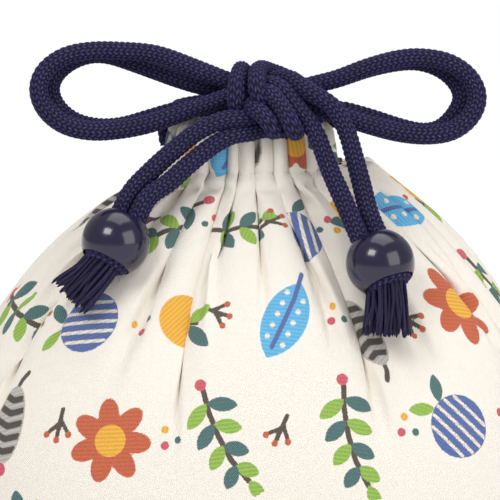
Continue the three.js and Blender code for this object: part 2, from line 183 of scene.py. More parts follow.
# The knot: its middle, reach and edge, and how far apart the strands are kept in it and outside it
KNOT_CENTRE = np.array([0.0045, -0.012, 0.1445])
KNOT_REACH = np.array([0.016, 0.016, 0.0115])
KNOT_END, KNOT_FADE = 1.35, 0.35
KNOT_SQUEEZE = 0.0043
FREE_DISTANCE = CORD + 0.0001

# How the strands settle: which points can meet, how soon they get their room, how firmly they keep
# their places, and how much of what is wrong a turn puts right
NODE_SPACING = 0.0024
MEETING_DISTANCE = 0.014
NEXT_NODES = 4
STRAND_TURNS, GROWING_TURNS = 260, 160
FIRST_ROOM, ROOM_GAINED = 0.55, 0.45
HOLD, HOLD_IN_KNOT = 0.25, 0.03
PUSH, SHARED_PUSH = 0.4, 0.6
SMOOTHING = 0.22


def settle_strands(routes):
    """Moves the strands apart where they cross, as they press on each other in the knot."""
    strands = [smooth_route(route, NODE_SPACING) for route in routes]
    target = np.vstack(strands)
    sizes = [len(strand) for strand in strands]
    which = np.repeat(np.arange(len(strands)), sizes)
    order = np.concatenate([np.arange(size) for size in sizes])
    from_end = np.minimum(order, np.repeat(sizes, sizes) - 1 - order)
    depth = norm((target - KNOT_CENTRE) / KNOT_REACH, axis=1)
    loose = np.clip(KNOT_END - depth, 0, KNOT_FADE) / KNOT_FADE
    hold = HOLD + (HOLD_IN_KNOT - HOLD) * loose
    apart = FREE_DISTANCE + (KNOT_SQUEEZE - FREE_DISTANCE) * loose
    first, second = np.triu_indices(len(target), 1)
    near = norm(target[first] - target[second], axis=1) < MEETING_DISTANCE
    neighbours = (which[first] == which[second]) & (np.abs(order[first] - order[second]) < NEXT_NODES)
    keep = near & ~neighbours
    first, second = first[keep], second[keep]
    room = (apart[first] + apart[second]) / 2
    inside, ends = np.flatnonzero(from_end > 0), from_end < 2
    points = target.copy()
    for turn in range(STRAND_TURNS):
        growth = min(1, FIRST_ROOM + ROOM_GAINED * turn / GROWING_TURNS)
        gap = points[first] - points[second]
        distance = norm(gap, axis=1)
        push = np.clip(room * growth - distance, 0, None) * PUSH
        move = gap / np.maximum(distance, 1e-9)[:, None] * push[:, None]
        shift = np.zeros_like(points)
        np.add.at(shift, first, move)
        np.add.at(shift, second, -move)
        count = np.bincount(np.r_[first[push > 0], second[push > 0]], minlength=len(points))
        points += shift / np.maximum(count, 1)[:, None] ** SHARED_PUSH
        middle = (points[inside - 1] + points[inside + 1]) / 2
        points[inside] += SMOOTHING * (middle - points[inside])
        points += hold[:, None] * (target - points)
        points[ends] = target[ends]
    return [respace(smooth_route(points[which == i], 0.0005), 0.0003) for i in range(len(strands))]


def frames_along(path):
    """Two directions across the path at each of its points, turned as little as possible on the way."""
    tangent = unit(np.gradient(path, axis=0))
    across = np.empty_like(path)
    start = np.cross(tangent[0], (0, 0, 1.0))
    across[0] = unit(start if norm(start) > 0.1 else np.cross(tangent[0], (0, 1.0, 0)))
    for i in range(1, len(path)):
        side = across[i - 1] - tangent[i] * np.dot(across[i - 1], tangent[i])
        across[i] = side / norm(side)
    return across, np.cross(tangent, across)


def ring_faces(rings, sides):
    """The four-cornered faces between rings of points, each joined to the next."""
    i = np.arange(rings - 1)[:, None] * sides
    j = np.arange(sides)[None]
    k = (j + 1) % sides
    return np.stack([i + j, i + k, i + sides + k, i + sides + j], -1).reshape(-1, 4)


def mesh_object(name, material, vertices, *faces):
    """A smooth mesh in the scene, from its points and one or more tables of faces."""
    mesh = bpy.data.meshes.new(name)
    mesh.from_pydata(vertices, [], [face for table in faces for face in table.tolist()], shade_flat=False)
    mesh.validate()
    mesh.materials.append(material)
    made = bpy.data.objects.new(name, mesh)
    scene.collection.objects.link(made)
    return made


# The braid: ribs round the cord, and the length, lean, fullness, edges and height of a stitch
RIBS = 8
STITCH = 0.0015
LEG_LEAN = 0.34
FULLNESS = 0.6
EDGE_DIP, EDGE_WIDTH = 0.55, 2.5
RELIEF = 0.0004
SUNK = 0.7
CORD_SIDES, HIDDEN_CORD_SIDES = 48, 24


def braid_height(along, angle):
    """Height of the cord's chevron stitches, from 0 to 1, at places along and round it."""
    legs = angle / (2 * np.pi) * 2 * RIBS
    leg = np.floor(legs)
    across = 2 * (legs - leg) - 1
    lean = np.where(leg % 2 == 0, 1, -1)
    phase = along / STITCH + LEG_LEAN * lean * across + 0.5 * ((leg // 2) % 2)
    stitch = 0.5 + 0.5 * np.cos(2 * np.pi * phase)
    return stitch ** FULLNESS * (1 - EDGE_DIP * np.abs(across) ** EDGE_WIDTH)


def pulled_radius(path):
    """Half the cord's width along it: thinner where the knot and the pull on the loops draw it tight."""
    knot_edge, knot_fade = 0.9, 1.6
    loop_foot, loop_fade = 0.14, 0.008
    slack, drawn_in_knot, drawn_in_loop = 1.02, 0.09, 0.07
    inside = norm((path - KNOT_CENTRE) / KNOT_REACH, axis=1)
    tight = 1 - np.clip((inside - knot_edge) / knot_fade, 0, 1)
    above = np.clip((path[:, 2] - loop_foot) / loop_fade, 0, 1)
    return CORD / 2 * (slack - drawn_in_knot * tight - drawn_in_loop * above * (1 - tight))


def tube(name, material, path, radius, sides=CORD_SIDES):
    """A braided cord: a tube with stitches that stand out from it, and closed ends."""
    radius = np.broadcast_to(radius, len(path))[:, None]
    across, up = frames_along(path)
    along = run_along(path)
    angle = round_turn(sides)
    height = braid_height(along[:, None], angle[None])
    reach = radius - RELIEF * SUNK + RELIEF * height
    ring = (np.cos(angle) * reach)[..., None] * across[:, None]
    ring = ring + (np.sin(angle) * reach)[..., None] * up[:, None]
    vertices = (path[:, None] + ring).reshape(-1, 3)
    j = np.arange(sides)
    k = (j + 1) % sides
    last = (len(path) - 1) * sides
    centre = np.full(sides, len(vertices))
    foot = np.stack([k, j, centre], 1)
    end = np.stack([last + j, last + k, centre + 1], 1)
    vertices = np.vstack([vertices, path[:1], path[-1:]])
    made = mesh_object(name, material, vertices, ring_faces(len(path), sides), np.vstack([foot, end]))
    store(made, "height", np.r_[height.ravel(), 0.5, 0.5])
    return made


def store(made, name, values):
    """Keeps a number, or three of them, at each of the mesh's points for its material."""
    values = np.asarray(values, np.float32)
    kind, field = ("FLOAT", "value") if values.ndim == 1 else ("FLOAT_VECTOR", "vector")
    made.data.attributes.new(name, kind, "POINT").data.foreach_set(field, values.ravel())


class Nodes:
    """A short way to write the nodes of a material or of the surround."""

    def __init__(self, name, kind=bpy.data.materials):
        self.owner = kind.new(name)
        self.owner.use_nodes = True
        self.tree = self.owner.node_tree
        self.tree.nodes.clear()

    def add(self, kind, inputs=None, **settings):
        node = self.tree.nodes.new(kind)
        for key, value in settings.items():
            setattr(node, key, value)
        for key, value in (inputs or {}).items():
            socket = node.inputs[key]
            if hasattr(value, "is_output"):
                self.tree.links.new(value, socket)
            else:
                socket.default_value = value
        return node

    def math(self, operation, a, b=0.0, clamp=False):
        return self.add("ShaderNodeMath", {0: a, 1: b}, operation=operation, use_clamp=clamp).outputs[0]

    def times(self, a, b, clamp=False):
        return self.math("MULTIPLY", a, b, clamp)

    def plus(self, a, b, clamp=False):
        return self.math("ADD", a, b, clamp)

    def wave(self, value, length):
        """A sine wave along a value, one wave to each such length of it."""
        return self.math("SINE", self.times(value, 2 * math.pi / length))

    def mix(self, factor, a, b):
        return self.add("ShaderNodeMix", {0: factor, 6: a, 7: b}, data_type="RGBA").outputs[2]

    def attribute(self, name, output="Fac"):
        return self.add("ShaderNodeAttribute", attribute_name=name).outputs[output]

    def place(self):
        return self.add("ShaderNodeTexCoord").outputs["Object"]

    def noise(self, place, scale, detail):
        inputs = {"Vector": place, "Scale": scale, "Detail": detail}
        return self.add("ShaderNodeTexNoise", inputs).outputs[0]

    def bump(self, height, distance, strength):
        inputs = {"Height": height, "Distance": distance, "Strength": strength}
        return self.add("ShaderNodeBump", inputs).outputs[0]

    def finish(self, inputs):
        shader = self.add("ShaderNodeBsdfPrincipled", inputs)
        self.add("ShaderNodeOutputMaterial", {"Surface": shader.outputs[0]})
        return self.owner


def cord_material():
    """Knitted navy yarn: painted dark shade between the stitches, and a patchy painted highlight on top of
    them.
    """
    n = Nodes("navy_cord")
    height = n.attribute("height")
    fibre = n.noise(n.place(), 2600.0, 3.0)
    patch = n.noise(n.place(), 90.0, 2.0)
    # The stitch tops are painted lighter as a highlight, made patchy by noise, and the grooves between them
    # stay near-black as painted shade.
    raised = n.times(n.math("SUBTRACT", height, 0.3), 1.5, clamp=True)
    patchy_highlight = n.plus(n.times(patch, 0.9), 0.4)
    top = n.times(n.math("POWER", raised, 1.4), patchy_highlight, clamp=True)
    lit = n.mix(top, rgba(0.03, 0.02, 0.09), rgba(0.29, 0.263, 0.51))
    # glint: tiny painted highlights on single fibres, strongest on the stitch tops.
    glint = n.times(n.math("GREATER_THAN", fibre, 0.6), n.math("POWER", height, 2.0))
    colour = n.mix(n.times(glint, 0.5), lit, rgba(0.45, 0.45, 0.68))
    colour = n.mix(n.times(patch, 0.25), colour, rgba(0.09, 0.085, 0.17))
    return n.finish({
        "Base Color": colour, "Roughness": 0.8, "Specular IOR Level": 0.25,
        "Normal": n.bump(fibre, 0.00012, 0.5),
        "Sheen Weight": 0.15, "Sheen Roughness": 0.5, "Sheen Tint": rgba(0.48, 0.44, 0.8),
    })


def add_cords(material):
    """The four strands of the two cords, each from the channel through the knot to its bead."""
    heights = [BEAD_LENGTH / 2 + BEAD_TRAVEL, BEAD_LENGTH / 4 + BEAD_TRAVEL / 2, 0, -MOUTH_FLOOR]
    routes = [route_of(name) + bead_axis_points(*STRANDS[name][:2], heights) for name in STRANDS]
    add_channel_cords(material)
    for (name, (side, _, nodes, _)), path in zip(STRANDS.items(), settle_strands(routes)):
        made = tube(name, material, path, pulled_radius(path))
        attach(made, "root")
        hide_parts(*nodes)
        length = float(run_along(path)[-1])


# The cloth body, in millimetres: the model's sizes first
BODY_WIDTH, BODY_DEPTH = 160, 100
BASE_WIDTH, BASE_DEPTH = 144, 84
NECK_WIDTH, NECK_DEPTH = 45, 30
BELLY_HEIGHT = 45
NECK_HEIGHT = 124.7
CLOTH_TOP = 138
SIDE_OPENING = 14.6
SEAM_GAP = 0.12

# How far the channel's cloth stands out beyond the model, and from which height
CHANNEL_FLARE, FLARE_FOOT = 2.4, 106
OUTLINE_STEPS = 721

# The grid that is settled, and how much finer it becomes
COLUMNS = 192
ROWS = 52
FINER = 4

# The folds: how many there are as they split towards the neck, between which heights each lot forms,
# and how unevenly they are spaced, lean, sway and start
FOLD_COUNTS = (8, 16, 32)
FOLD_FADES = ((58, 84), (90, 108), (109, 119))
CREASE_SPREAD = 0.22
SMALL_FOLD_LEAN = 0.5
LEAN_SPREAD, LEAN_HEIGHT = 0.017, 60
SWAY, SWAY_RISE, SWAY_SHARE = 0.006, 8, 3
EARLY_SPREAD = 7
ROUND_OFF = 1.1

# How far the filling lifts the cloth at heights, at each shoulder
RIGHT_LIFT = (60, 80, 92, 100, 108, 114, 119, 122, 124.7), (0, 1, 1.8, 2.6, 5.4, 8.4, 7.8, 4.4, 0)
LEFT_LIFT = (60, 80, 88, 95, 102, 112, 116, 120, 124.7), (0, -2.6, -2.2, 0.1, 1.8, 1.6, 0.1, -1.9, 0)
RIGHT_SPREAD, LEFT_SPREAD = 0.68, 0.8
LIFT_OUT, LIFT_UP = 0.72, 0.62

# How the cloth settles: what a turn pushes it out and draws it down by, and what share of each
# thread's error and of each bend it takes away
CLOTH_TURNS, THREAD_PASSES = 260, 4
FILLING, FILLING_BELOW = 0.016, 0.004
WEIGHT = 0.003
THREAD, SLANT, RELAX = 0.5, 0.12, 0.4
BEND_ROUND, BEND_UP = 0.05, 0.08

# The channel's section: heights, and how far inside the outline it lies there
CHANNEL_SECTION = (
    (125.3, 0.3), (126.2, 0.1), (128, 0.1), (131, 0.5), (134, 1), (136.2, 1.7), (137.4, 2.8),
    (138, 4.4), (138.1, 7.4), (138, 10.2), (137.2, 11.8), (135, 12.6), (131, 12.8), (126.5, 12.6),
)
TOP_LIMIT = CLOTH_TOP + 0.2


def half_size(z):
    """Half width and half depth of the body at heights, as in the model."""
    up = np.clip((z - BELLY_HEIGHT) / (NECK_HEIGHT - BELLY_HEIGHT), 0, 1) ** 2
    down = np.clip((BELLY_HEIGHT - z) / BELLY_HEIGHT, 0, 1) ** 2

    def side(belly, base, neck):
        return (belly - (belly - base) * down - (belly - neck) * up) / 2

    return side(BODY_WIDTH, BASE_WIDTH, NECK_WIDTH), side(BODY_DEPTH, BASE_DEPTH, NECK_DEPTH)


def bent(value, power):
    """A power of a number that keeps its sign."""
    return np.sign(value) * np.abs(value) ** power


def oval(angle, z, inset=0.0):
    """Points on the body's outline at a height: a rounded oblong low down and an oval at the neck."""
    wide, deep = half_size(z)
    inset = inset - CHANNEL_FLARE * ease(z, FLARE_FOOT, NECK_HEIGHT)
    power = 2 / (3 - 0.8 * np.clip(z / NECK_HEIGHT, 0, 1))
    cos, sin = np.cos(angle), np.sin(angle)
    return np.stack([(wide - inset) * bent(cos, power), (deep - inset) * bent(sin, power)], -1)


def outline(z, inset=0.0):
    """The outline at a height as a closed line, with the length passed at each of its points."""
    line = oval(np.linspace(0, 2 * np.pi, OUTLINE_STEPS), z, inset)
    return line, run_along(line)


def at_share(z, share, inset=0.0):
    """Places on the outline at shares of the way round it, and the way out of the pouch there."""
    line, along = outline(z, inset)
    step = 0.002

    def place(s):
        return np.stack([np.interp(s % 1 * along[-1], along, line[:, k]) for k in (0, 1)], 1)

    ahead = place(share + step) - place(share - step)
    out = np.stack([ahead[:, 1], -ahead[:, 0]], 1)
    return place(share), out / norm(out, axis=1)[:, None]


def ease(x, low, high):
    """0 at one value and below it, 1 at the other and beyond, and a smooth rise between."""
    t = np.clip((x - low) / (high - low), 0, 1)
    return t * t * (3 - 2 * t)


def fold_in(share, creases, leaned, cloth_length, ring_length):
    """Where each thread of a gathered row comes to lie: its share of the way round, and how far it is
    folded in behind the outline. The spare cloth of each fold goes down one crease and up the next."""
    count = len(creases)
    fold = np.searchsorted(creases, share, side="right") - 1
    before, after = fold % count, (fold + 1) % count
    start = creases[before] - (fold < 0)
    stop = creases[after] + (fold + 1 >= count)
    left, right = start + leaned[before], stop + leaned[after]
    cloth = (stop - start) * cloth_length
    depth = np.maximum(cloth - (right - left) * ring_length, 0) / 2
    passed = (share - start) * cloth_length
    on_front = np.clip((passed - depth) / np.maximum(cloth - 2 * depth, 1e-6), 0, 1)
    behind = np.maximum(depth - passed, 0) + np.maximum(passed - (cloth - depth), 0)
    return left + on_front * (right - left), behind


def fold_number(where, creases):
    """How many creases have been passed at each place, with the share of the way on to the next."""
    marks = np.r_[creases[-1] - 1, creases, creases[0] + 1]
    return np.interp(where, marks, np.arange(len(marks)))


def across_fold(where, creases):
    """How far each place is from the middle of its fold, squared: 0 there and 1 at a crease."""
    return (2 * (fold_number(where, creases) % 1) - 1) ** 2


def folded_body():
    """The cloth as it is first laid, row by row from the base up to the channel."""
    rng = np.random.default_rng(7)
    fine = np.linspace(0, NECK_HEIGHT, 400)
    wide, deep = half_size(fine)
    along = np.r_[0, np.cumsum(np.hypot(np.diff(fine), (np.diff(wide) + np.diff(deep)) / 2))]
    upward = np.linspace(0, along[-1], ROWS)
    heights = np.interp(upward, along, fine)
    girth = outline(BELLY_HEIGHT)[1][-1]
    share = np.arange(COLUMNS) / COLUMNS
    most = FOLD_COUNTS[-1]
    creases = (np.arange(most) + 0.5 + rng.uniform(-CREASE_SPREAD, CREASE_SPREAD, most)) / most
    lean = rng.uniform(-LEAN_SPREAD, LEAN_SPREAD, most)
    sway = rng.uniform(0, 2 * np.pi, most)
    early = rng.uniform(-EARLY_SPREAD, EARLY_SPREAD, most)
    rows, girths, guide = [], [], []
    for z in heights:
        length = outline(z)[1][-1]
        cloth = girth if z > BELLY_HEIGHT else length
        ring = at_share(z, share)[0]
        guide.append(np.c_[ring, np.full(COLUMNS, z)])
        for count, (low, high) in zip(FOLD_COUNTS, FOLD_FADES):
            step = most // count
            chosen = np.arange(step // 2, most, step)
            below = (NECK_HEIGHT - z) / LEAN_HEIGHT
            leaned = lean[chosen] * below * (1 if count == FOLD_COUNTS[0] else SMALL_FOLD_LEAN)
            leaned = leaned + SWAY * min(below * SWAY_SHARE, 1) * np.sin(z / SWAY_RISE + sway[chosen])
            where, behind = fold_in(share, creases[chosen], leaned, cloth, length)
            place, out = at_share(z, where)
            if count == most:
                upright = where - np.interp(share, creases, leaned)
                behind = behind + ROUND_OFF * across_fold(upright, creases)
            nearest = np.abs((share[:, None] - creases[chosen] + 0.5) % 1 - 0.5).argmin(1)
            shift = early[chosen][nearest]
            part = ease(z, low + shift, high + shift)[:, None]
            ring = ring * (1 - part) + (place - out * behind[:, None]) * part
        rows.append(np.c_[ring, np.full(COLUMNS, z)])
        girths.append(cloth)
    return np.array(rows), np.array(guide), np.array(girths), upward, creases


def pressed_places():
    """Balls that stand for what hangs against the cloth's front: beads, tassels and free ends of cord."""
    tassel_depth, tassel_length, tassel_radius, tassel_flare = 0.0074, 0.012, 0.0046, 0.2
    balls = []
    for side, bead in BEADS.items():
        centre = np.array(bead["centre"])
        balls.append((*centre, BEAD / 2 + GAP))
        foot = centre - unit(bead["up"]) * tassel_depth
        for along in np.linspace(0, tassel_length, 6):
            balls.append((*(foot + unit(bead["tassel"]) * along), tassel_radius + tassel_flare * along))
        for name, (bead_side, sign, *_) in STRANDS.items():
            if bead_side == side:
                route = route_of(name)[-8:] + bead_axis_points(side, sign, [0.0142, 0.009])
                balls += [(*place, CORD / 2 + GAP) for place in smooth_route(route, 0.002)]
    return np.array(balls) * 1000


def press(points, balls):
    """Moves the points that lie inside a ball out to its surface."""
    front, shoulder = -5, 70
    place = points.reshape(-1, 3).copy()
    near = np.flatnonzero((place[:, 1] < front) & (place[:, 2] > shoulder))
    for *centre, radius in balls:
        gap = place[near] - centre
        distance = norm(gap, axis=1)
        inside = distance < radius
        if inside.any():
            further = radius / np.maximum(distance[inside], 1e-6) - 1
            place[near[inside]] += gap[inside] * further[:, None]
    return place.reshape(points.shape)


def slump(rows):
    """How the filling lies: higher under the right shoulder, and a little fuller to the left."""
    wide, deep = half_size(rows[..., 2])
    angle = np.arctan2(rows[..., 1] / deep, rows[..., 0] / wide)
    z = rows[..., 2]
    from_left = np.abs(angle) - np.pi
    amount = np.interp(z, *RIGHT_LIFT) * np.exp(-(angle / RIGHT_SPREAD) ** 2)
    amount = amount - np.interp(z, *LEFT_LIFT) * np.exp(-(from_left / LEFT_SPREAD) ** 2)
    moved = rows.copy()
    moved[..., 0] += LIFT_OUT * amount
    moved[..., 2] += LIFT_UP * np.abs(amount) * np.sign(amount * rows[..., 0]) * ease(z, 60, 90)
    return moved


def settle_cloth(rows, guide, girths):
    """Lets the laid cloth settle. Its threads keep their lengths while what is in the pouch pushes it out
    and its weight draws it down, and it resists bending. The base and the channel are held."""
    balls = pressed_places()
    weft = (girths / COLUMNS)[:, None]
    warp = norm(np.diff(guide, axis=0), axis=2)
    slant = np.sqrt(((weft[1:] + weft[:-1]) / 2) ** 2 + warp ** 2)
    cloth = rows.copy()
    free = np.ones((ROWS, 1, 1))
    free[0] = free[-2:] = 0

    def pull(gap, length, strength):
        size = norm(gap, axis=2)
        return gap * (strength * (size - length) / np.maximum(size, 1e-9))[..., None]

    for _ in range(CLOTH_TURNS):
        across = np.roll(cloth, -1, 1) - np.roll(cloth, 1, 1)
        out = np.cross(across, np.gradient(cloth, axis=0))
        out /= np.maximum(norm(out, axis=2), 1e-9)[..., None]
        low = ease(guide[:, :1, 2:], 100, BELLY_HEIGHT)
        cloth += free * (FILLING + FILLING_BELOW * low) * out
        cloth[..., 2] -= WEIGHT * free[..., 0]
        for _ in range(THREAD_PASSES):
            move = np.zeros_like(cloth)
            part = pull(np.roll(cloth, -1, 1) - cloth, weft, THREAD)
            move += part - np.roll(part, 1, 1)
            part = pull(cloth[1:] - cloth[:-1], warp, THREAD)
            move[:-1] += part
            move[1:] -= part
            for way in (1, -1):
                part = pull(np.roll(cloth[1:], -way, 1) - cloth[:-1], slant, SLANT)
                move[:-1] += part
                move[1:] -= np.roll(part, way, 1)
            cloth += RELAX * free * move
        bend = BEND_ROUND * ((np.roll(cloth, 1, 1) + np.roll(cloth, -1, 1)) / 2 - cloth)
        bend[1:-1] += BEND_UP * ((cloth[2:] + cloth[:-2]) / 2 - cloth[1:-1])
        cloth += free * bend
        cloth = np.where(free > 0, press(cloth, balls), cloth)
    return cloth


def finer_rows(rows, around):
    """A smooth curve through each line of points, FINER times as fine, across (a ring) or upwards."""
    if around:
        rows = np.swapaxes(rows, 0, 1)
        line = np.concatenate([rows[-1:], rows, rows[:2]])
    else:
        line = np.concatenate([2 * rows[:1] - rows[1:2], rows, 2 * rows[-1:] - rows[-2:-1]])
    parts = []
    for t in np.arange(FINER) / FINER:
        weights = (
            -t + 2 * t ** 2 - t ** 3, 2 - 5 * t ** 2 + 3 * t ** 3,
            t + 4 * t ** 2 - 3 * t ** 3, t ** 3 - t ** 2,
        )
        parts.append(sum(w * q for w, q in zip(weights, (line[:-3], line[1:-2], line[2:-1], line[3:]))) / 2)
    made = np.stack(parts, 1).reshape(-1, *line.shape[1:])
    return np.swapaxes(made, 0, 1) if around else np.concatenate([made, rows[-1:]])


def channel_rows(share, creases):
    """The channel: up the outside, over the top and down the inside, gathered small on its cords."""
    girth, length = outline(BELLY_HEIGHT)[1][-1], outline(NECK_HEIGHT)[1][-1]
    where, behind = fold_in(share, creases, np.zeros(len(creases)), girth, length)
    deep = np.clip(behind / np.percentile(behind, 97), 0, 1)
    phase = fold_number(share, creases)
    rounded = across_fold(where, creases)
    tilt = 0.6 * np.sin(phase * 2.4) + 0.5 * np.sin(phase * 0.9 + 1)
    fuller = 1 + 0.35 * np.sin(phase * 1.7 + 0.4)
    outside, inside = 6.4, 2.4
    outer_depth, inner_depth, inner_rounding = 2.4, 0.6, 0.35
    fold_dip, rounding_dip = 0.8, 1.3
    rows = []
    for z, inset in CHANNEL_SECTION:
        place, out = at_share(NECK_HEIGHT, where, inset)
        outer = np.clip((outside - inset) / (outside - inside), 0, 1)
        round_off = rounded * (ROUND_OFF + (0.7 * fuller - 0.3) * ease(z, 125.3, 129))
        depth = deep * (outer_depth * outer + inner_depth * (1 - outer))
        depth = depth + round_off * (inner_rounding + (1 - inner_rounding) * outer) - 0.4 * outer
        dip = (fold_dip * deep + rounding_dip * rounded * fuller) * ease(z, 131, 138)
        height = z + tilt * (0.3 + 0.7 * ease(z, 126, 138)) - dip
        rows.append(np.c_[place - out * depth[:, None], np.minimum(height, TOP_LIMIT)])
    return np.array(rows)


def base_rows(edge):
    """The base: the cloth turns under and runs in to the seam along its middle."""
    wide, deep = 0.99, 0.985
    rows = []
    for reach, z in ((0, 0.05), (0.06, 0.05), (0.2, 0.05), (0.45, 0.05), (0.75, 0.05), (1, 0.3)):
        ring = edge.copy()
        ring[:, 0] *= wide
        ring[:, 1] *= deep * (1 - reach)
        ring[:, 2] = z
        rows.append(ring)
    return np.array(rows[::-1])


# The print. Shapes are worked out as distances from their edges, in millimetres on the flat cloth:
# below nought is inside. Each colour is one layer, later ones over earlier ones.
PRINT_ACROSS = 7
ROW_HEIGHT = 0.94
PLACE_SPREAD = 2.2
FAR = 99.0
PRINT_COLOURS = {
    "stem": (0.2, 0.12, 0.09), "lime": (0.55, 0.74, 0.2), "teal": (0.08, 0.38, 0.4),
    "orange": (0.8, 0.3, 0.05), "yellow": (0.97, 0.7, 0.03), "sky": (0.28, 0.72, 0.93),
    "blue": (0.2, 0.36, 0.66), "grey": (0.75, 0.73, 0.71), "pink": (0.84, 0.26, 0.38),
    "dark": (0.1, 0.07, 0.08), "white": (0.96, 0.93, 0.88),
}


def disc(x, y, cx, cy, r):
    return np.hypot(x - cx, y - cy) - r


def rotated(x, y, turn, scale=1.0):
    """Places as seen from a motif that is turned and scaled."""
    cos, sin = math.cos(turn) / scale, math.sin(turn) / scale
    return x * cos + y * sin, -x * sin + y * cos


def ellipse(x, y, cx, cy, a, b, turn=0.0):
    u, v = rotated(x - cx, y - cy, turn)
    return (np.hypot(u / a, v / b) - 1) * min(a, b)


def leaf(x, y, foot, turn, length, width):
    """A pointed leaf: where two discs overlap."""
    u, v = rotated(x - foot[0], y - foot[1], turn)
    u = u - length / 2
    radius = (length ** 2 + width ** 2) / (4 * width)
    off = radius - width / 2
    return np.maximum(np.hypot(u, v - off), np.hypot(u, v + off)) - radius


def stroke(x, y, points, half_width):
    """A line of even width through points."""
    best = np.full(x.shape, FAR)
    for (ax, ay), (bx, by) in zip(points, points[1:]):
        dx, dy = bx - ax, by - ay
        t = np.clip(((x - ax) * dx + (y - ay) * dy) / (dx * dx + dy * dy), 0, 1)
        best = np.minimum(best, np.hypot(x - ax - t * dx, y - ay - t * dy))
    return best - half_width


def sprig(x, y):
    yield "stem", stroke(x, y, [(-10, -7), (-5, -4.5), (0, -1), (5, 3.5), (9, 9)], 0.7)
    for i, foot in enumerate([(-7, -5.5), (-2.5, -2.7), (2, 0.8), (6, 5)]):
        above, below = ("lime", "teal") if i % 2 else ("teal", "lime")
        yield above, leaf(x, y, foot, 1.75 - 0.1 * i, 8 - 0.6 * i, 3.6)
        yield below, leaf(x, y, foot, -0.45 + 0.1 * i, 8 - 0.6 * i, 3.6)
    yield "lime", leaf(x, y, (9, 9), 0.95, 6, 3.2)
    yield "pink", disc(x, y, -11.2, -8, 1.5)


def blossom(x, y):
    for i in range(7):
        turn = i * 2 * math.pi / 7
        yield "orange", ellipse(x, y, 6.2 * math.cos(turn), 6.2 * math.sin(turn), 4.2, 2.6, turn)
    yield "yellow", disc(x, y, 0, 0, 3.9)
    for i in range(6):
        turn = i * math.pi / 3
        yield "stem", disc(x, y, 2 * math.cos(turn), 2 * math.sin(turn), 0.5)


def dotted_leaf(x, y):
    yield "sky", leaf(x, y, (-11, 0), 0, 22, 11.5)
    for px in (-7, -3.8, -0.6, 2.6, 5.8):
        for py in (-2.3, 2.3):
            yield "white", disc(x, y, px + 0.5 * (py > 0), py, 0.75)
    yield "blue", stroke(x, y, [(-13.5, -0.8), (-6, 0), (8, 0)], 0.6)


def basket(x, y):
    yield "blue", disc(x, y, 0, 0, 7.6)
    for off in (-5, -2.5, 0, 2.5, 5):
        reach = math.sqrt(7.2 ** 2 - off ** 2)
        yield "sky", stroke(x, y, [(-reach, off), (reach, off)], 0.55)
        yield "white", stroke(x, y, [(off, -reach), (off, reach)], 0.45)
    yield "lime", leaf(x, y, (-1, 7.4), 2.4, 7, 3.2)
    yield "teal", leaf(x, y, (1, 7.4), 0.8, 7, 3.2)


def striped_pod(x, y):
    yield "grey", ellipse(x, y, 0, 0, 9.5, 4.6)
    body = ellipse(x, y, 0, 0, 9.1, 4.2)
    for px in (-6.5, -3.4, -0.3, 2.8, 5.9):
        band = stroke(x, y, [(px - 1, -5), (px + 0.6, 0), (px - 1, 5)], 0.8)
        yield "dark", np.maximum(band, body)
    yield "pink", disc(x, y, 10.8, 0, 1.7)
    yield "stem", stroke(x, y, [(-13, 2), (-11, 0.6), (-9, 0)], 0.65)


def lemon(x, y):
    yield "yellow", ellipse(x, y, 0, 0, 7.4, 6.4, 0.4)
    yield "orange", np.maximum(ellipse(x, y, 0, 0, 6.8, 5.8, 0.4), -disc(x, y, -2.4, 2, 6.4))
    yield "teal", leaf(x, y, (5, 4.5), 0.2, 8.5, 4)
    yield "lime", leaf(x, y, (4.2, 5.2), 1.5, 7.5, 3.6)
    yield "stem", stroke(x, y, [(3.4, 3.8), (6, 7)], 0.65)


def filler(x, y):
    yield "pink", disc(x, y, 0, 2, 1.15)
    yield "teal", disc(x, y, -2.4, -1, 1.0)
    yield "yellow", disc(x, y, 2.3, -1.4, 1.05)


def three_twigs(x, y):
    yield "stem", stroke(x, y, [(0, -4), (0, 3)], 0.6)
    yield "stem", stroke(x, y, [(0, -1.5), (-2.6, 1.4)], 0.55)
    yield "stem", stroke(x, y, [(0, -0.5), (2.6, 2.2)], 0.55)
    for px, py in ((0, 3.8), (-3, 2), (3, 2.8)):
        yield "orange", disc(x, y, px, py, 0.9)


BIG_MOTIFS = (sprig, blossom, dotted_leaf, basket, sprig, striped_pod, lemon)
SMALL_MOTIFS = (filler, three_twigs)
BIG_SCALE, SMALL_SCALE = 1.05, 1.0
BIG_REACH, SMALL_REACH = 18, 7


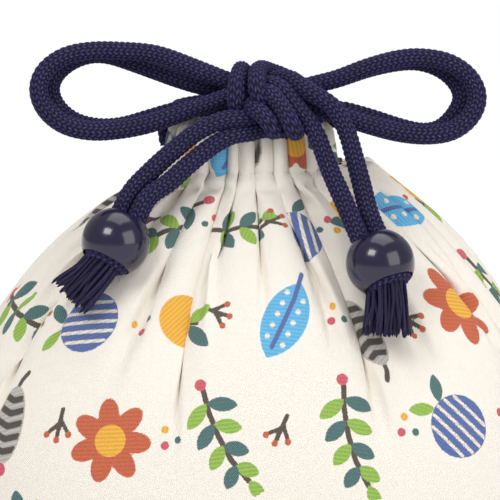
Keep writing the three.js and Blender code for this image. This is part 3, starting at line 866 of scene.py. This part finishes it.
def printed(u, v, width):
    """Each colour's distances at places on the flat cloth, and the places along the print's threads."""
    rng = np.random.default_rng(23)
    layers = {name: np.full(u.shape, 9.0) for name in PRINT_COLOURS}
    thread = np.zeros(u.shape)
    nearest = np.full(u.shape, FAR)
    cell = width / PRINT_ACROSS
    for row in range(-1, 8):
        for column in range(PRINT_ACROSS):
            cx = (column + 0.5 * (row % 2) + 0.25) * cell + rng.uniform(-PLACE_SPREAD, PLACE_SPREAD)
            cy = (row + 0.15) * cell * ROW_HEIGHT + rng.uniform(-PLACE_SPREAD, PLACE_SPREAD)
            turn = rng.uniform(0, 2 * math.pi)
            big = BIG_MOTIFS[(column * 3 + row * 5) % len(BIG_MOTIFS)]
            small = SMALL_MOTIFS[(column + row) % 2]
            for draw, px, py, angle, scale, reach in (
                (big, cx, cy, turn, BIG_SCALE, BIG_REACH),
                (small, cx + cell * 0.5, cy + 1.5, turn * 2, SMALL_SCALE, SMALL_REACH),
            ):
                du = (u - px + width / 2) % width - width / 2
                near = np.hypot(du, v - py) < reach
                if not near.any():
                    continue
                x, y = rotated(du[near], v[near] - py, angle, scale)
                covered = np.full(x.shape, FAR)
                for colour, distance in draw(x, y):
                    distance = distance * scale
                    layer = layers[colour]
                    layer[near] = np.minimum(layer[near], distance)
                    covered = np.minimum(covered, distance)
                closer = covered < nearest[near]
                spot = np.flatnonzero(near)[closer]
                thread.ravel()[spot] = (x + 0.35 * y)[closer]
                nearest.ravel()[spot] = covered[closer]
    return layers, thread


# Lengths on the flat cloth: the weave, the print's filling and the sewn stitches
WEAVE_LENGTH = 0.62
THREAD_LENGTH = 1.05
SEWN_LENGTH = 3.2
SEWN_HALF_WIDTH = 0.25


def cloth_material():
    """Cotton in a plain weave, printed in flat colours that are filled like stitches."""
    n = Nodes("printed_cotton")
    place = n.attribute("flat", "Vector")
    split = n.add("ShaderNodeSeparateXYZ", {0: place}).outputs
    weave = n.times(n.wave(split[0], WEAVE_LENGTH), n.wave(split[1], WEAVE_LENGTH))
    slub = n.noise(place, 0.8, 3.0)
    base = n.mix(slub, rgba(0.957, 0.932, 0.893), rgba(0.98, 0.96, 0.926))
    base = n.mix(n.times(n.plus(weave, 1.0), 0.09), base, rgba(0.78, 0.72, 0.63))
    rough = n.times(n.math("SUBTRACT", n.noise(place, 2.2, 2.0), 0.5), 2.4)
    thread = n.times(n.plus(n.wave(n.attribute("thread"), THREAD_LENGTH), 1.0), 0.5)
    colour = base
    for name, shade in PRINT_COLOURS.items():
        ink = n.mix(n.times(thread, 0.4), rgba(*shade), rgba(*(c * 0.62 for c in shade)))
        ink = n.mix(n.times(n.plus(weave, 1.0), 0.1), ink, rgba(0.95, 0.92, 0.86))
        edge = n.plus(n.times(n.attribute("ink_" + name), -5.0), rough)
        colour = n.mix(n.plus(edge, 0.5, clamp=True), colour, ink)
    # The channel's sewn line: darker dashes, partly the stitches' own tan thread and partly painted shade
    # of the crease that the stitching pulls in; it is also sunk as a groove.
    dash = n.math("GREATER_THAN", n.wave(split[0], SEWN_LENGTH), -0.45)
    seam = n.math("LESS_THAN", n.math("ABSOLUTE", n.attribute("stitch")), SEWN_HALF_WIDTH)
    sewn_stitches_and_shade = n.times(seam, dash)
    colour = n.mix(n.times(sewn_stitches_and_shade, 0.35), colour, rgba(0.8, 0.74, 0.66))
    relief = n.plus(n.times(weave, 0.5), n.times(sewn_stitches_and_shade, -1.2))
    return n.finish({
        "Base Color": colour, "Roughness": 0.92, "Specular IOR Level": 0.15,
        "Normal": n.bump(relief, 0.00014, 0.8), "Sheen Weight": 0.1, "Sheen Roughness": 0.5,
    })


def surface_out(points):
    """The way out of the surface at each point of an open grid."""
    out = np.cross(np.gradient(points, axis=1), np.gradient(points, axis=0))
    return out / np.maximum(norm(out, axis=2), 1e-9)[..., None]


def add_cloth():
    """The two panels: gathered, settled, made finer, and given their channel, seams and base."""
    print_shift = 61.0
    seam_sunk, seam_reach = 0.7, 1.2
    channel_step, spare_in_step, sewn_above = 0.6, 1.1, 1.2
    rows, guide, girths, upward, creases = folded_body()
    rows, guide = slump(rows), slump(guide)
    rows = settle_cloth(rows, guide, girths)
    body = finer_rows(finer_rows(rows, True), False)
    body = press(body, pressed_places())
    count = COLUMNS * FINER
    half = count // 2
    share = np.arange(count) / count
    girth = girths.max()
    height = np.interp(np.arange(len(body)) / FINER, np.arange(ROWS), upward)
    channel = channel_rows(share, creases)
    base = base_rows(body[0])
    grid = np.concatenate([base, body, channel])
    channel_steps = norm(np.diff(channel.mean(1), axis=0), axis=1) + spare_in_step
    rise = np.concatenate([
        -np.linspace(BASE_DEPTH / 2, 0, len(base), endpoint=False), height,
        height[-1] + np.cumsum(np.r_[channel_step, channel_steps]),
    ])
    first_channel = len(base) + len(body)
    beside_mouth = np.abs(at_share(NECK_HEIGHT, share)[0][:, 1]) < SIDE_OPENING / 2
    material = cloth_material()
    steps = np.arange(half + 1)
    for name, start, side, shift in (("back_panel", 0, 1, 0), ("front_panel", half, -1, print_shift)):
        columns = (start + steps) % count
        points = grid[:, columns].copy()
        seam = np.minimum(steps, half - steps) * girth / count
        points -= surface_out(points) * (seam_sunk * np.exp(-(seam / seam_reach) ** 2))[None, :, None]
        points[..., 1] += side * SEAM_GAP / 2
        points[..., 2] = np.maximum(points[..., 2], 0)
        size = points.shape[:2]
        index = np.arange(size[0] * size[1]).reshape(size)
        keep = np.ones((size[0] - 1, half), bool)
        open_here = beside_mouth[columns]
        keep[first_channel:, open_here[:-1] | open_here[1:]] = False
        quads = np.stack([index[:-1, :-1], index[:-1, 1:], index[1:, 1:], index[1:, :-1]], -1)[keep]
        used, quads = np.unique(quads, return_inverse=True)
        quads = quads.reshape(-1, 4)
        flat_u = np.broadcast_to(steps * girth / count, size).ravel()[used]
        flat_v = np.broadcast_to(rise[:, None], size).ravel()[used]
        made = mesh_object(name + "_cloth", material, points.reshape(-1, 3)[used] * 0.001, quads)
        layers, thread = printed(flat_u + shift, flat_v, girth / 2)
        for colour, distance in layers.items():
            store(made, "ink_" + colour, distance)
        store(made, "thread", thread)
        store(made, "flat", np.c_[flat_u, flat_v, np.zeros(len(used))])
        store(made, "stitch", np.minimum(np.abs(flat_v - rise[first_channel] - sewn_above), 9))
        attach(made, "root")
        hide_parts(name)


# The cords' run round the channel: half its width and depth, the cords' heights, and the angle at
# which they leave it
RING_X, RING_Y = 0.0174, 0.0099
UPPER_CORD_Z, LOWER_CORD_Z = 0.134, 0.1287
CHANNEL_EXIT = 0.42
CHANNEL_STEPS = 12


def ring_points(side, z):
    """A cord's run round the channel, from the front of its own side to the back."""
    steps = np.arange(CHANNEL_STEPS + 1)
    angle = math.pi + CHANNEL_EXIT + (2 * math.pi - 2 * CHANNEL_EXIT) * steps / CHANNEL_STEPS
    power = 2 / 2.2
    x, y = RING_X * bent(np.cos(angle), power), RING_Y * bent(np.sin(angle), power)
    return [(-side * px, py, z) for px, py in zip(x, y)]


def add_channel_cords(material):
    """The parts of the two cords that run round inside the channel, up to where they leave it."""
    for side, name, z in ((-1, "left", LOWER_CORD_Z), (1, "right", UPPER_CORD_Z)):
        front, back = route_of(name + "_cord_front")[0], route_of(name + "_cord_back")[0]
        path = smooth_route([front] + ring_points(side, z) + [back], 0.0006)
        made = tube(name + "_cord_round_channel", material, path, CORD / 2, HIDDEN_CORD_SIDES)
        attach(made, "root")
        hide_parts(name + "_cord_in_channel")


BEAD_SIDES = 96


def turned(name, material, profile, place, up):
    """A closed shape turned about a line, from the distances and heights of its outline."""
    up = unit(up)
    across, third = ways_across(up)
    angle = round_turn(BEAD_SIDES)[:, None]
    around = np.cos(angle) * across + np.sin(angle) * third
    profile = np.asarray(profile)
    points = np.array(place) + profile[:, None, 0:1] * around[None] + profile[:, None, 1:2] * up
    quads = ring_faces(len(profile) + 1, BEAD_SIDES) % (len(profile) * BEAD_SIDES)
    return mesh_object(name, material, points.reshape(-1, 3), quads)


def bead_material():
    """Glossy navy plastic, a little cloudy."""
    n = Nodes("navy_gloss")
    cloud = n.noise(n.place(), 55.0, 2.0)
    colour = n.mix(cloud, rgba(0.085, 0.07, 0.165), rgba(0.14, 0.118, 0.25))
    return n.finish({
        "Base Color": colour, "Roughness": 0.2, "Specular IOR Level": 0.42, "Coat Weight": 0.36,
        "Coat Roughness": 0.07,
    })


def add_beads(material):
    """Two glossy beads, each bored for a pair of cords, with a wider mouth for their end knot."""
    half, bore, mouth, ball = BEAD_LENGTH / 2, BEAD_BORE / 2, BEAD_MOUTH / 2, BEAD / 2
    soft, clear_of_edge, ball_steps = 0.0004, 0.05, 40
    top = min(half, math.sqrt(ball ** 2 - bore ** 2))
    low = -min(half, math.sqrt(ball ** 2 - mouth ** 2))
    first, last = math.asin(low / ball) + clear_of_edge, math.asin(top / ball) - clear_of_edge
    profile = [
        (bore, -MOUTH_FLOOR + soft), (bore + soft, -MOUTH_FLOOR), (mouth - soft, -MOUTH_FLOOR),
        (mouth, -MOUTH_FLOOR - soft), (mouth, low + 0.8 * soft), (mouth + 0.3 * soft, low + 0.2 * soft),
        *((ball * math.cos(a), ball * math.sin(a)) for a in np.linspace(first, last, ball_steps)),
        (bore + 0.3 * soft, top - 0.2 * soft), (bore, top - 0.8 * soft),
    ]
    for side, bead in BEADS.items():
        made = turned(side + "_bead_gloss", material, profile, bead["centre"], bead["up"])
        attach(made, side + "_bead")
        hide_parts(side + "_bead")


def tassel_material():
    """Navy yarn, lighter along some threads than along others."""
    n = Nodes("navy_yarn")
    fibre = n.noise(n.place(), 1900.0, 3.0)
    colour = n.mix(n.attribute("tone"), rgba(0.075, 0.06, 0.13), rgba(0.19, 0.165, 0.29))
    colour = n.mix(n.times(fibre, 0.3), colour, rgba(0.26, 0.24, 0.38))
    return n.finish({
        "Base Color": colour, "Roughness": 0.85, "Specular IOR Level": 0.25,
        "Normal": n.bump(fibre, 0.00012, 0.6),
        "Sheen Weight": 0.2, "Sheen Roughness": 0.5, "Sheen Tint": rgba(0.5, 0.5, 0.75),
    })


# The tassels: the yarns, where they start in the bead's mouth, and how they spread and wander
YARNS = 84
YARN_SIDES = 8
YARN_STEPS = 14
YARN_RADIUS = 0.0004
YARN_FOOT = 0.0072
YARN_ROOT = 0.0034
YARN_LENGTH = 0.0126
NARROW, WIDE = 0.0051, 0.0068
WANDER = 0.00035
GOLDEN_ANGLE = 2.39996

# The end knot: half its cord's width, and the coil it makes in the bead's mouth
END_KNOT_CORD = 0.0016
COIL_LENGTH, COIL_STEPS = 3.6 * math.pi, 60
COIL_IN, COIL_UP = 0.0003, 0.00015


def yarn(path, radius):
    """The points and faces of one yarn, with a rounded tip."""
    tip = 1.6
    across, up = frames_along(path)
    angle = round_turn(YARN_SIDES)
    left = len(path) - 1 - np.arange(len(path))
    width = radius * np.sqrt(np.clip(1 - np.clip(tip - left, 0, tip) ** 2 / 2.9, 0.02, 1))
    ring = np.cos(angle)[None, :, None] * across[:, None] + np.sin(angle)[None, :, None] * up[:, None]
    points = path[:, None] + width[:, None, None] * ring
    return points.reshape(-1, 3), ring_faces(len(path), YARN_SIDES)


def end_knot(side, material, foot, up):
    """The coil of cord that stands for the knot at a pair's end, hidden in the bead's mouth."""
    across, third = ways_across(up)
    turns = np.linspace(0, COIL_LENGTH, COIL_STEPS)
    coil = BEAD_MOUTH / 2 - GAP - END_KNOT_CORD - COIL_IN * (1 + np.sin(turns * 0.5))
    rise = END_KNOT_CORD + COIL_UP * (1 - np.cos(turns * 0.55))
    path = foot + (np.cos(turns) * coil)[:, None] * across + (np.sin(turns) * coil)[:, None] * third
    path = respace(smooth_route((path + rise[:, None] * up)[::3], 0.0005), 0.0004)
    return tube(side + "_end_knot", material, path, END_KNOT_CORD, HIDDEN_CORD_SIDES)


def add_tassels(material, cord_look):
    """The knot that ends each pair of cords, and its frayed yarns."""
    for (side, bead), seed in zip(BEADS.items(), (5, 6)):
        rng = np.random.default_rng(seed)
        up, down = unit(bead["up"]), unit(bead["tassel"])
        foot = np.array(bead["centre"]) - up * YARN_FOOT
        ball = end_knot(side, cord_look, foot, up)
        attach(ball, "root")
        across, third = ways_across(down)
        t = np.linspace(0, 1, YARN_STEPS)
        points, faces, tones = [], [], []
        for i in range(YARNS):
            ring = math.sqrt((i + 0.5) / YARNS)
            way = math.cos(i * GOLDEN_ANGLE) * across + math.sin(i * GOLDEN_ANGLE) * third
            length = YARN_LENGTH * rng.uniform(0.84, 1.05)
            reach = WIDE * ring * rng.uniform(0.75, 1.08)
            start = NARROW * ring
            flare = start + (reach - start) * t ** 1.5
            wander = rng.normal(0, WANDER, (2, 1)) * np.sin(t * rng.uniform(3, 6))
            line = foot + up * YARN_ROOT * (1 - t[:, None]) ** 2 + down * (t[:, None] * length)
            line = line + way * flare[:, None] + across * wander[0][:, None] + third * wander[1][:, None]
            made_points, quads = yarn(line, YARN_RADIUS * rng.uniform(0.9, 1.1))
            points.append(made_points)
            faces.append(quads + i * len(made_points))
            dapple = np.sin(np.repeat(t, YARN_SIDES) * 40 + i)
            tones.append(rng.uniform(0.1, 0.9) * (0.75 + 0.25 * dapple))
        made = mesh_object(side + "_tassel_yarns", material, np.vstack(points), np.vstack(faces))
        store(made, "tone", np.concatenate(tones))
        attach(made, "root")
        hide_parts(side + "_tassel")


def add_camera():
    """The photograph's view: from the front, ten degrees above level, through a long lens."""
    view_width, sensor = 0.1316, 36
    distance = 2.0
    elevation = math.radians(10)
    aim = Vector((0, -0.015, 0.104))
    camera = bpy.data.objects.new("camera", bpy.data.cameras.new("camera"))
    camera.data.sensor_width = sensor
    camera.data.lens = sensor * distance / view_width
    camera.data.clip_end = 50
    camera.location = aim + distance * Vector((0, -math.cos(elevation), math.sin(elevation)))
    camera.rotation_euler = (math.pi / 2 - elevation, 0, 0)
    scene.collection.objects.link(camera)
    scene.camera = camera


def add_floor():
    """A pale floor, of which the camera sees mostly a plain white."""
    side, whiteness = 3.0, 0.84
    n = Nodes("pale_floor")
    grain = n.add("ShaderNodeTexNoise", {"Scale": 400.0}).outputs[0]
    colour = n.mix(grain, rgba(0.95, 0.95, 0.95), rgba(0.97, 0.97, 0.97))
    paint = n.add("ShaderNodeBsdfDiffuse", {"Color": colour}).outputs[0]
    white = n.add("ShaderNodeEmission", {"Color": (1, 1, 1, 1), "Strength": 1.1}).outputs[0]
    path = n.add("ShaderNodeLightPath").outputs
    seen = n.math("MAXIMUM", path["Is Camera Ray"], path["Is Glossy Ray"])
    seen = n.math("MAXIMUM", seen, path["Is Transmission Ray"])
    mixed = n.add("ShaderNodeMixShader", {0: n.times(seen, whiteness), 1: paint, 2: white}).outputs[0]
    n.add("ShaderNodeOutputMaterial", {"Surface": mixed})
    corners = [(-side, -side, 0), (side, -side, 0), (side, side, 0), (-side, side, 0)]
    floor = mesh_object("floor", n.owner, corners, np.array([[0, 1, 2, 3]]))


def add_lamp(name, place, size, power):
    """A soft lamp that points at the pouch's upper part."""
    light = bpy.data.lights.new(name, "AREA")
    light.shape = "RECTANGLE"
    light.size, light.size_y = size
    light.energy = power
    made = bpy.data.objects.new(name, light)
    made.location = place
    made.rotation_euler = (Vector((0, 0, 0.1)) - Vector(place)).to_track_quat("-Z", "Y").to_euler()
    scene.collection.objects.link(made)


def add_surround():
    """Light from all round, a little warm, behind a white that only the camera sees."""
    n = Nodes("surround", bpy.data.worlds)
    scene.world = n.owner
    ambient = n.add("ShaderNodeBackground", {"Color": (1, 0.985, 0.96, 1), "Strength": 0.41}).outputs[0]
    shown = n.add("ShaderNodeBackground", {"Color": (1, 1, 1, 1)}).outputs[0]
    seen = n.add("ShaderNodeLightPath").outputs["Is Camera Ray"]
    mixed = n.add("ShaderNodeMixShader", {0: seen, 1: ambient, 2: shown}).outputs[0]
    n.add("ShaderNodeOutputWorld", {"Surface": mixed})


scene.view_settings.view_transform = "Standard"
add_camera()
add_floor()
add_lamp("key", (-0.55, -0.75, 0.95), (0.5, 0.4), 6.1)
add_lamp("fill", (0.9, -0.8, 0.55), (0.9, 0.9), 6.6)
add_lamp("top", (0.1, 0.15, 1.2), (0.9, 0.9), 5)
add_surround()
navy_cord = cord_material()
add_cloth()
add_beads(bead_material())
add_tassels(tassel_material(), navy_cord)
add_cords(navy_cord)
